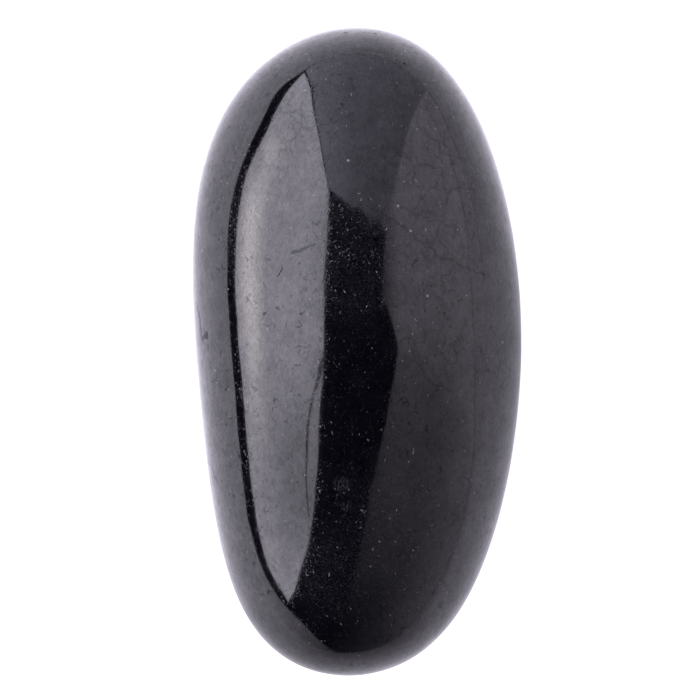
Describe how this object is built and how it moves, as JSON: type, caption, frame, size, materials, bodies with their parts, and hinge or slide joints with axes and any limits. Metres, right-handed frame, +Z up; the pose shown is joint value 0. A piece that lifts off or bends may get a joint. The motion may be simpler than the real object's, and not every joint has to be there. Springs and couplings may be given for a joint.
{
  "type": "massage stone",
  "caption": "Long oval pebble of polished black basalt for hand-held massage, rounded all over, with a small worn flat that it rests on.",
  "frame": {"origin": "middle of the bounding box at floor level, in the plane of the resting flat", "axes": "+Y along the stone from its near tip to its far tip, +X across it, +Z up from the resting flat to the crown"},
  "size_m": [0.038, 0.075, 0.031],
  "materials": {
    "polished_basalt": "polished"
  },
  "bodies": {
    "root": {"stone": "polished_basalt"}
  },
  "joints": []
}
